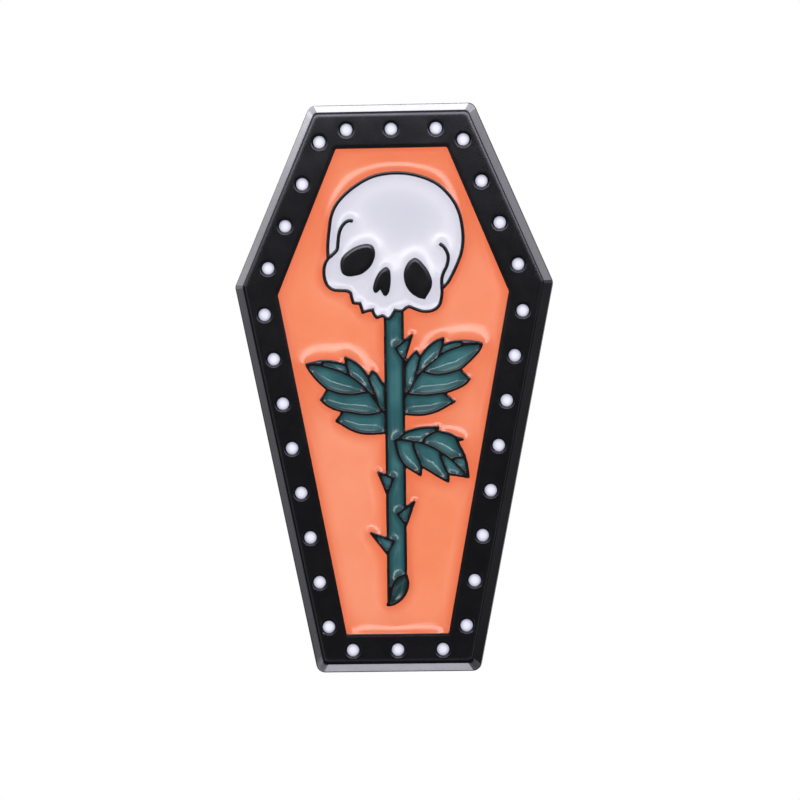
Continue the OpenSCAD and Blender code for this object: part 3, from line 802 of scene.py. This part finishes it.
def cut_sheet(loops, place, thickness, rounding, grid):
    """Sheet cut to its outlines, with rounded edges, and laid in space by place(u, v, height)."""
    loops = [np.array(l) for l in loops]
    outlines = Outlines(loops)
    loose = rings_beside(loops, [rounding * share for share in (0.2, 0.5, 1.0)], outlines)
    clear = outlines.inside(grid) & (outlines.distance(grid) > rounding * GRID_CLEAR)
    loose += [tuple(p) for p, ok in zip(grid, clear) if ok]
    points, faces, kept = triangulate(loops, loose)
    faces = kept_faces(points, faces, outlines)
    depth = np.minimum(outlines.distance(points), rounding)
    depth[[i for loop in kept for i in loop]] = 0
    half = thickness / 2 - rounding + np.sqrt(rounding**2 - (rounding - depth)**2)
    count = len(points)
    rows = np.concatenate([np.stack(place(points[:, 0], points[:, 1], side * half), 1) for side in (1, -1)])
    faces += [[i + count for i in reversed(f)] for f in faces]
    for loop in kept:
        faces += band(loop, [i + count for i in loop])
    return [tuple(r) for r in rows], faces


def squared(thing):
    """Joins a sheet's matching triangles into quads, so that its rounded edges shade evenly."""
    mesh = bmesh.new()
    mesh.from_mesh(thing.data)
    bmesh.ops.join_triangles(mesh, faces=mesh.faces[:], angle_face_threshold=math.radians(25),
                             angle_shape_threshold=math.radians(50))
    mesh.to_mesh(thing.data)
    mesh.free()
    weighted = thing.modifiers.new("even_shading", "WEIGHTED_NORMAL")
    weighted.keep_sharp = True


def joined(*shells):
    """Several shells as one list of points and one of faces."""
    rows, faces = [], []
    for more, their in shells:
        faces += [[i + len(rows) for i in f] for f in their]
        rows += more
    return rows, faces


def mirrored_x(shell):
    rows, faces = shell
    return [(-x, y, z) for x, y, z in rows], [f[::-1] for f in faces]


def stood(rows, lift, height):
    """Points about an upright axis, laid so that the axis points out of the back at a height on the badge."""
    return [(x, lift + z, height - y) for x, y, z in rows]


# ---- posts
POST_R, POST_LEN = 0.5, 8.0
POST_PROFILE = fillet([(0, -SEAT_DEPTH, 0), (POST_R, -SEAT_DEPTH, 0), (POST_R, POST_LEN - 2.6, 0.12),
                       (POST_R - 0.1, POST_LEN - 2.5, 0.06), (POST_R - 0.1, POST_LEN - 2.2, 0.06),
                       (POST_R, POST_LEN - 2.1, 0.12), (POST_R, POST_LEN - 0.9, 0.5),
                       (0.12, POST_LEN - 0.08, 0.1), (0.06, POST_LEN, 0.03), (0, POST_LEN, 0)], closed=False)
SOLDER_PROFILE = fillet([(0.45, -SEAT_DEPTH, 0), (1.2, -SEAT_DEPTH, 0), (1.2, -0.02, 0.04),
                         (1.06, 0.05, 0.08), *arc_of(1.15, 0.62, 0.57, 262, 186, 8),
                         (0.53, 0.66, 0.03), (0.45, 0.66, 0)])


def puddled(seed):
    """Solder's uneven rim: wide waves that fade towards the post."""
    def wobble(a, radius, height):
        wave = math.sin(2 * a + seed) + 0.6 * math.sin(3 * a + 2.3 * seed) + 0.4 * math.sin(5 * a + 4 * seed)
        return 1 + 0.022 * wave * min(1.0, max(0.0, (radius - 0.55) / 0.6))
    return wobble


# ---- butterfly clutches
SHEET = 0.35
LAPEL = 2.2  # from the badge's back to the clutch
CLUTCH_R = 5.75
CASING_R, CASING_H = 4.2, 4.2
PIVOT_X, PIVOT_H, PIVOT_R = 2.65, 3.3, 0.25
EDGE = 0.09  # rounding of the cut edges
GRID_CLEAR = 2.6  # a cut sheet's grid keeps this many roundings away from its edges
TURNED = 144  # points round the cup, the same in every ring

BASE_PROFILE = fillet([(0.62, 0.25, 0.12), (0.84, 0.0, 0.14), (1.5, 0.0, 0.3), (1.85, 0.09, 0.3),
                       (4.35, 0.09, 0.4), (4.75, 0.0, 0.4), *arc_of(CLUTCH_R - 0.4, 0.4, 0.4, -90, 148, 16),
                       (5.02, 0.56, 0.03), (5.02, SHEET, 0.05), (0.95, SHEET, 0.15), (0.92, 0.6, 0.07),
                       (0.62, 0.6, 0.07)])
CUP_START = 0.85  # the cup is cut out flat, as a disc whose radius is this plus the reach along it
CUP = Bend(fillet([(CUP_START, CASING_H - SHEET / 2, 0),
                   (CASING_R - SHEET / 2, CASING_H - SHEET / 2, 0.34),
                   (CASING_R - SHEET / 2, 1.5 * SHEET, 0.24), (4.76, 1.5 * SHEET, 0)],
                  closed=False, fine=0.1))
WINDOW_X, WINDOW_Y, WINDOW_H = 1.4, 2.45, 2.5  # in the crown, half across, and down to this height
EAR_Y, EAR_SHEET = 2.65, 0.4
EAR = [(2.2, 2.85, 0.4), (3.05, 2.85, 0.4), (3.05, 4.0, 0.25), (2.2, 4.0, 0)]
EYE_R = 0.28


def on_cup(u, v, height):
    reach, around = np.hypot(u, v) - CUP_START, np.arctan2(v, u)
    r, z = CUP.at(reach, height)
    return r * np.cos(around), r * np.sin(around), z


def window_outline():
    """A window in the cup's flat disc: straight in the crown and down the wall, square at the bottom."""
    crown = math.hypot(WINDOW_X, WINDOW_Y)
    flat = CUP.along + CUP_START
    down = [i for i in range(len(flat)) if flat[i] > crown and CUP.path[i][1] > WINDOW_H]
    edge = []
    for i in down[::2]:
        around = math.asin(WINDOW_Y / CUP.path[i][0])
        edge.append((flat[i] * math.cos(around), flat[i] * math.sin(around), 0))
    wide = math.degrees(math.asin(WINDOW_Y / CUP.path[down[-1]][0]))
    sill = arc_of(0, 0, flat[down[-1]] + 0.05, -wide, wide, 24)
    for end in (0, -1):
        sill[end] = (*sill[end][:2], 0.45)
    return fillet([(WINDOW_X, -WINDOW_Y, 0.3), *[(x, -y, r) for x, y, r in edge], *sill, *edge[::-1],
                   (WINDOW_X, WINDOW_Y, 0.3)])


def clutch_housing():
    """The drawn cup with its two windows, and four pierced ears for the wings' pivots."""
    flat = CUP.along + CUP_START
    rim = circle(flat[-1], TURNED)
    hole = circle(CUP_START, TURNED, turns=(ROUND, 0))
    window = resampled(window_outline(), 0.1)[::-1]
    rings = list(np.interp(np.linspace(0, 1, 46), np.linspace(0, 1, len(flat)), CUP.along) + CUP_START)
    rings += [flat[i] for i in range(1, len(flat) - 1) if abs(wedge(CUP.left[i - 1], CUP.left[i + 1])) > 1e-3]
    rings = sorted(rings)
    rings = [r for r, following in zip(rings, rings[1:] + [math.inf]) if following - r > 0.04]
    grid = [p for r in rings for p in circle(r, TURNED)]
    shells = [cut_sheet([rim, hole, window, -window], on_cup, SHEET, EDGE, grid)]
    ear_outline = resampled(fillet(EAR, fine=0.15), 0.2)
    eye = circle(EYE_R, 40, PIVOT_X, PIVOT_H, turns=(ROUND, 0))
    for side in (-1, 1):
        ear = cut_sheet([ear_outline, eye], lambda u, v, h: (u, side * EAR_Y - h, v), EAR_SHEET, EDGE,
                        [(2.3, 3.8), (3.0, 3.8)])
        shells += [ear, mirrored_x(ear)]
    return joined(*shells)


JAW, TAB = 0.68, 2.2  # half widths of a wing at its jaw and at its finger tab
NOTCH_R = 0.53  # the notch in the jaw that closes on the post
NECK_X = 2.35  # where the shank widens into the tab
DISH = 0.13  # how deep the tab is dished for a finger
PIVOT_FROM, PIVOT_TO = 2.05, 2.8
WING_BEND = [(0.1, 1.4), (1.35, 1.4), (1.78, 1.6), (2.2, 2.45), (PIVOT_X, PIVOT_H), (3.4, 4.1), (4.3, 4.72),
             (5.3, 5.08), (6.1, 5.14)]


def flowing(points, pieces=8):
    """A smooth curve through the points."""
    p = np.array(points, float)
    ends = np.concatenate([p[:1], p, p[-1:]])
    found = []
    for a, b, c, d in zip(ends, ends[1:], ends[2:], ends[3:]):
        for k in range(pieces):
            t = k / pieces
            found.append(b + 0.5 * t * (c - a) + t * t * (a - 2.5 * b + 2 * c - 0.5 * d)
                         + t**3 * (1.5 * (b - c) + 0.5 * (d - a)))
    return [*found, p[-1]]


def clutch_wing():
    """A wing on the +x side: jaw with its notch for the post, narrow shank, neck, pivots and finger tab."""
    bend = Bend(flowing(WING_BEND))
    tip, neck = bend.along[-1], bend.reach(NECK_X)
    half = math.degrees(math.acos(WING_BEND[0][0] / NOTCH_R))
    bite = [(bend.reach(x), y, 0) for x, y, _ in arc_of(0, 0, NOTCH_R, half, -half, 12)]
    outline = fillet([(0.0, -JAW, 0.12), (neck, -JAW, 0.3), (neck, -TAB, 0.35), (tip, -TAB, 0.95),
                      (tip, TAB, 0.95), (neck, TAB, 0.35), (neck, JAW, 0.3), (0.0, JAW, 0.12),
                      *bite], fine=0.15)
    grid = [(u, v) for u in np.arange(0.08, tip, 0.12) for v in np.arange(-2.1, 2.11, 0.3)]

    def place(u, v, height):
        thumb = np.clip((u - neck) / (tip - neck) * 1.25 - 0.25, 0, 1)
        dish = -DISH * np.sin(math.pi * thumb)**2 * np.cos(np.clip(v / TAB, -1, 1) * math.pi / 2)**2
        x, z = bend.at(u, height + dish)
        return x, v + 0 * x, z
    leaf = cut_sheet([resampled(outline, 0.12)], place, SHEET, EDGE, grid)
    pin, pin_faces = lathe(fillet([(0, PIVOT_FROM, 0), (PIVOT_R, PIVOT_FROM, 0), (PIVOT_R, PIVOT_TO, 0.08),
                                   (0, PIVOT_TO, 0)], closed=False), 32)
    pins = [([(PIVOT_X + x, z, PIVOT_H - y) for x, y, z in pin], pin_faces),
            ([(PIVOT_X + x, -z, PIVOT_H + y) for x, y, z in pin], pin_faces)]
    return joined(leaf, *pins)


def spring_ring(ring_r=2.74, wire_r=0.15, height=2.05, gap_at=110, arc=320, around=16):
    """Wire bent round into an open ring, its ends rounded off."""
    length = ring_r * math.radians(arc)
    ends = [(0.0, 0.0), (0.01, 0.45), (0.05, 0.8), (0.1, 0.95), (0.16, 1.0)]
    path = ends + [(d, 1.0) for d in np.linspace(0.3, length - 0.3, 110)]
    path += [(length - d, f) for d, f in reversed(ends)]
    rows = []
    for distance, share in path:
        a = math.radians(gap_at) + distance / ring_r
        for r, z in circle(wire_r * share, around, ring_r, height):
            rows.append((r * math.cos(a), r * math.sin(a), z))
    faces = []
    for i in range(len(path) - 1):
        for k in range(around):
            j = (k + 1) % around
            faces.append([i * around + k, (i + 1) * around + k, (i + 1) * around + j, i * around + j])
    return rows, faces


housing = clutch_housing()
wing = clutch_wing()
for which, height, seed in (("upper", POST_Z, 0.7), ("lower", -POST_Z, 2.9)):
    # (name, shape, metal, slot, body if it isn't the badge, node, angle kept sharp)
    made = [("pin_post", lathe(POST_PROFILE, 48), POST_PLATING, "post_plating", "", "post", 40),
            ("solder_fillet", lathe(SOLDER_PROFILE, 64, puddled(seed)), SOLDER, "solder", "",
             "post_solder", 60),
            ("base_disc", lathe(BASE_PROFILE, 120), NICKEL, "bright_nickel", "clutch", "clutch_base", 50),
            ("casing", housing, NICKEL, "bright_nickel", "clutch", "clutch_housing", 60),
            ("right_squeeze_wing", wing, NICKEL, "bright_nickel", "right_lever", "right_wing", 60),
            ("left_squeeze_wing", mirrored_x(wing), NICKEL, "bright_nickel", "left_lever", "left_wing", 60),
            ("spring_wire", spring_ring(), STEEL, "spring_steel", "grip", "jaw_spring", 60)]
    for name, (rows, faces), metal, slot, body, node, sharp in made:
        thing = piece(f"{which}_{name}", stood(rows, LAPEL if body else 0, height), faces, metal,
                      f"{which}_{body}" if body else "badge", f"{which}_{node}", sharp)
        if node.endswith(("housing", "wing")):
            squared(thing)

# ---- camera
CAMERA_AWAY = 250.0  # mm from the badge's face to the lens
ASIDE, ABOVE = -0.373, 0.887  # how far the badge's middle is off the lens's axis
LEAN, TILT_BACK, TURN = (math.radians(angle) for angle in (-0.78, -1.99, -3.29))
LENS, SENSOR_W = 168.75, 36.0
scene = bpy.context.scene
badge_turn = Matrix.Rotation(LEAN, 3, "Y") @ Matrix.Rotation(TILT_BACK, 3, "X")
badge_turn = badge_turn @ Matrix.Rotation(TURN, 3, "Z")
turn_back = badge_turn.transposed()
optics = bpy.data.cameras.new("camera")
optics.sensor_width, optics.lens = SENSOR_W, LENS
optics.clip_start, optics.clip_end = 0.01, 20.0
camera = placed("camera", optics)
facing_front = Matrix(((1, 0, 0), (0, 0, -1), (0, 1, 0)))
lens_at = (Vector((0, FRONT, 0)) + turn_back @ Vector((-ASIDE, -CAMERA_AWAY, -ABOVE))) * MM
camera.matrix_world = Matrix.Translation(lens_at) @ (turn_back @ facing_front).to_4x4()
scene.camera = camera


# ---- light and stage
def softbox(name, towards, distance, width, height, radiance):
    """A rectangular light facing the badge from a direction, of an even brightness; sizes in metres."""
    data = bpy.data.lights.new(name, "AREA")
    data.shape, data.size, data.size_y = "RECTANGLE", width, height
    data.energy = radiance * math.pi * width * height
    lamp = placed(name, data)
    towards = Vector(towards).normalized()
    lamp.location = towards * distance
    lamp.rotation_mode = "QUATERNION"
    lamp.rotation_quaternion = towards.to_track_quat("Z", "Y")
    lamp.visible_camera = False
    return lamp


def turn_card(card, towards):
    """Turns a card so that its width runs round the badge and its height runs away from the badge's plane."""
    depth = Vector(towards).normalized()
    along = depth.cross(Vector((0, 1, 0))).normalized()
    card.rotation_quaternion = Matrix((along, depth.cross(along), depth)).transposed().to_quaternion()


def from_angles(side, up):
    """A direction, degrees to the right and up from straight in front of the badge."""
    a, e = math.radians(side), math.radians(up)
    return (math.sin(a) * math.cos(e), -math.cos(a) * math.cos(e), math.sin(e))


# what the glossy surfaces show: a bright strip above the camera, a long box overhead, dim boxes at the sides
# (name, degrees right, degrees up, distance, width, height, radiance)
for name, side, up, *size in [
        ("key_strip", 0, 16, 0.8, 0.54, 0.11, 6.6), ("overhead", 0, 78, 0.55, 1.3, 0.42, 2.2),
        ("low_strip", 0, -9, 0.8, 0.5, 0.04, 0.9), ("left_side", -80, 5, 0.6, 0.25, 0.6, 1.2),
        ("right_side", 80, 5, 0.6, 0.25, 0.6, 0.8), ("key_left", -31, 14, 0.8, 0.3, 0.12, 1.7),
        ("key_right", 31, 14, 0.8, 0.3, 0.12, 1.2), ("haze", 0, 40, 0.9, 1.3, 0.7, 0.42),
        ("left_strip", -17, 1, 0.8, 0.07, 0.36, 0.7), ("right_strip", 17, 1, 0.8, 0.07, 0.36, 0.7)]:
    softbox(name, from_angles(side, up), *size)
# light that only the enamel's colour shows
fill = softbox("soft_fill", from_angles(0, 38), 0.9, 1.3, 0.9, 0.45)
fill.visible_glossy = False

# cards round the badge, each where one sloped side or corner of the outline mirrors it to the camera
CARD_AWAY, CARD_LONG = 0.4, 0.12
CARD_HALF = 9  # half a card's width as an angle, degrees
# (radiance, degrees moved upwards) for the upper left side and on round: lower left, bottom, lower right ...
SIDE_TONES = [(4.4, 3), (1.2, 4), (7.5, 0), (0.25, 3), (4.2, 3), (16.0, 0)]
toward_camera = (lens_at - Vector((0, FRONT * MM, 0))).normalized()
slope_tilt = math.radians(SHOULDER[-1][1])
facing = [math.atan2(-run[0], run[1]) for _, run in sides]
for i, (radiance, raised) in enumerate(SIDE_TONES):
    gap = (facing[(i + 1) % 6] - facing[i]) % ROUND
    next_radiance = SIDE_TONES[(i + 1) % 6][0]
    half_corner = max(2.0, math.degrees(gap) / 2 - CARD_HALF)
    cards = [(facing[i] + math.radians(raised) * math.copysign(1, math.cos(facing[i])), CARD_HALF, radiance),
             (facing[i] + gap / 2, half_corner, math.sqrt(radiance * next_radiance))]
    for angle, half_width, glow in cards:
        out = Vector((math.cos(angle), 0, math.sin(angle))) * math.sin(slope_tilt)
        out -= Vector((0, math.cos(slope_tilt), 0))
        mirrored = out * (2 * out.dot(toward_camera)) - toward_camera
        width = 2 * CARD_AWAY * math.tan(math.radians(half_width))
        card = softbox("edge_card", mirrored, CARD_AWAY, width, CARD_LONG, glow)
        turn_card(card, mirrored)
# light for the back, far enough round that the front doesn't show it
softbox("rear_key", from_angles(205, 28), 0.9, 0.7, 0.5, 2.4)
softbox("rear_fill", from_angles(150, 5), 0.9, 0.5, 0.8, 1.2)
softbox("rear_low", from_angles(180, -35), 0.9, 0.8, 0.4, 0.8)


ROOM_LIGHT = 0.11  # a dim even glow from all round, behind a backdrop that the camera sees as white
world = bpy.data.worlds.new("studio")
scene.world = world
world.use_nodes = True
sky = world.node_tree
backdrop = sky.nodes["Background"].inputs
strength = sky.nodes.new("ShaderNodeMapRange")
strength.inputs["To Min"].default_value = ROOM_LIGHT
seen = sky.nodes.new("ShaderNodeLightPath").outputs["Is Camera Ray"]
sky.links.new(seen, strength.inputs["Value"])
sky.links.new(strength.outputs["Result"], backdrop["Strength"])
backdrop["Color"].default_value = (1, 1, 1, 1)

paper = Nodes("white_paper")
paper.set(Base_Color=(0.8, 0.8, 0.8), Roughness=0.9)
paper.set(Emission_Color=(1.0, 1.0, 1.0), Emission_Strength=1.0)
FLOOR_Z, FLOOR_HALF = -0.5, 2.0
sheet = bpy.data.meshes.new("floor")
floor_corners = [(x * FLOOR_HALF, y * FLOOR_HALF, FLOOR_Z) for x, y in ((-1, -1), (1, -1), (1, 1), (-1, 1))]
sheet.from_pydata(floor_corners, [], [(0, 1, 2, 3)])
sheet.materials.append(paper.material)
floor = placed("floor", sheet)
floor.visible_glossy = False

scene.view_settings.view_transform = "Standard"
scene.view_settings.look = "None"
